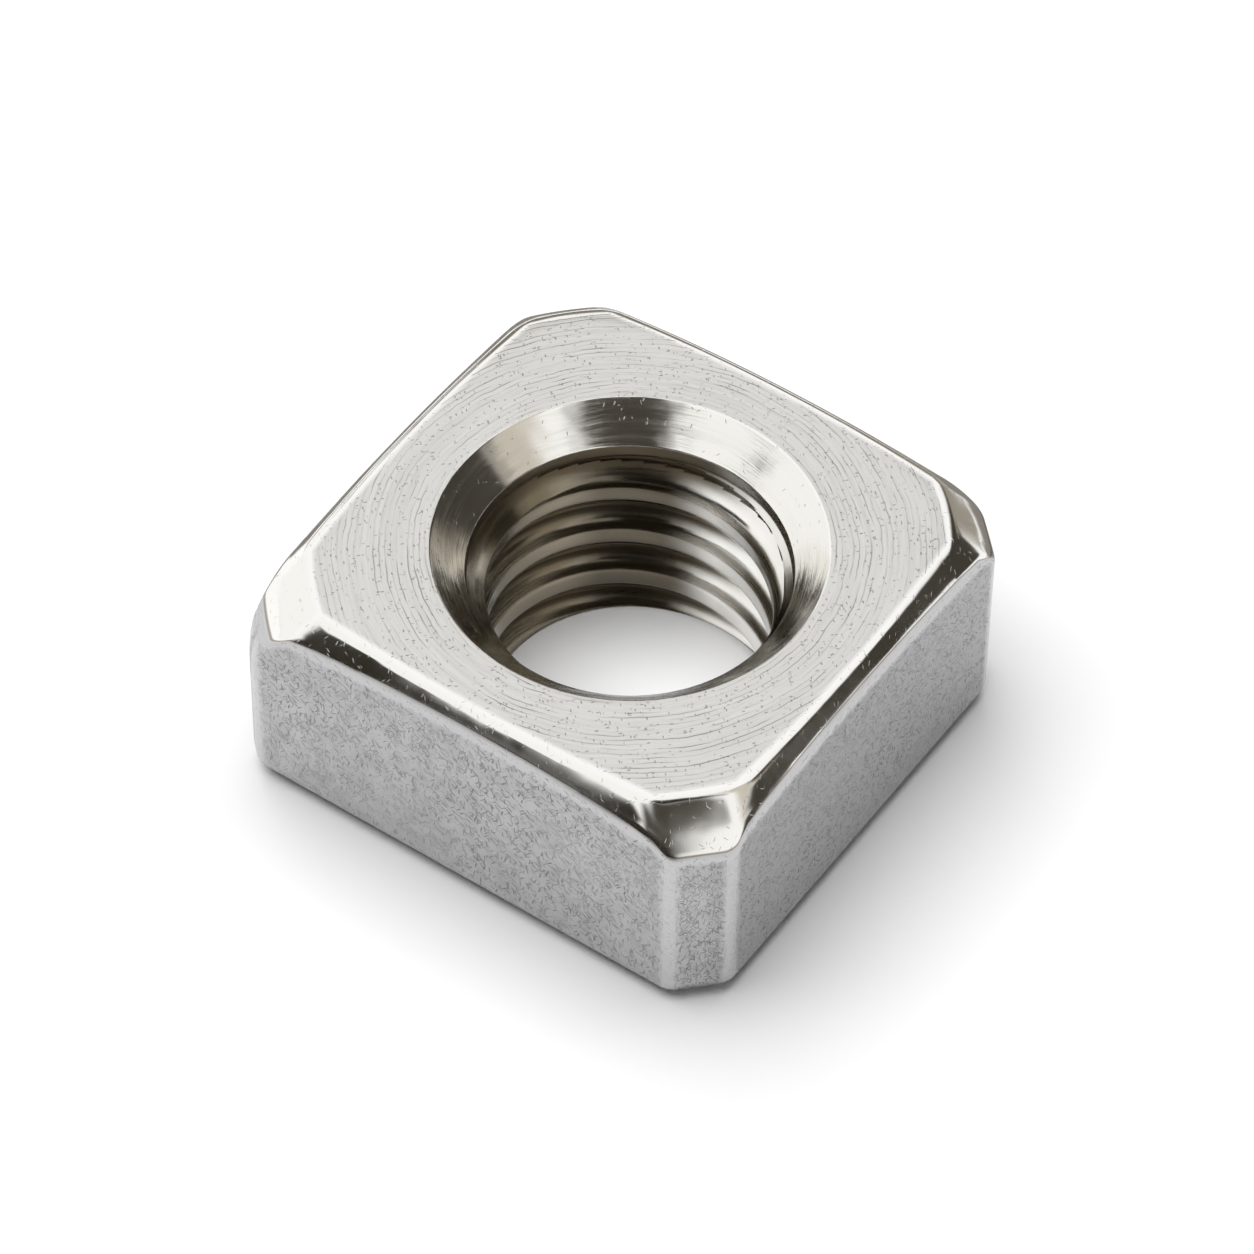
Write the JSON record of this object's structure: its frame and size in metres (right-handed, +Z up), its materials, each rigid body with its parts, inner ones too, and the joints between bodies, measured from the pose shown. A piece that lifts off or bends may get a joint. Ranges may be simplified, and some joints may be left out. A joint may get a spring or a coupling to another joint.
{
  "type": "square nut",
  "caption": "Square nut in bright plated steel: coarse right-hand thread, countersunk bore, cropped corners under a turned chamfer and polished bevels round the top face",
  "frame": {"origin": "on the thread axis, in the plane of the bearing face", "axes": "+Z up along the thread axis to the chamfered face, X across the wider pair of sides, Y across the narrower pair"},
  "size_m": [0.011, 0.0108, 0.0052],
  "materials": {
    "plated_steel": "bright nickel plate over steel: turned satin top face, polished bevels and countersink, tumbled sides"
  },
  "bodies": {
    "root": {"nut": "plated_steel"}
  },
  "joints": []
}
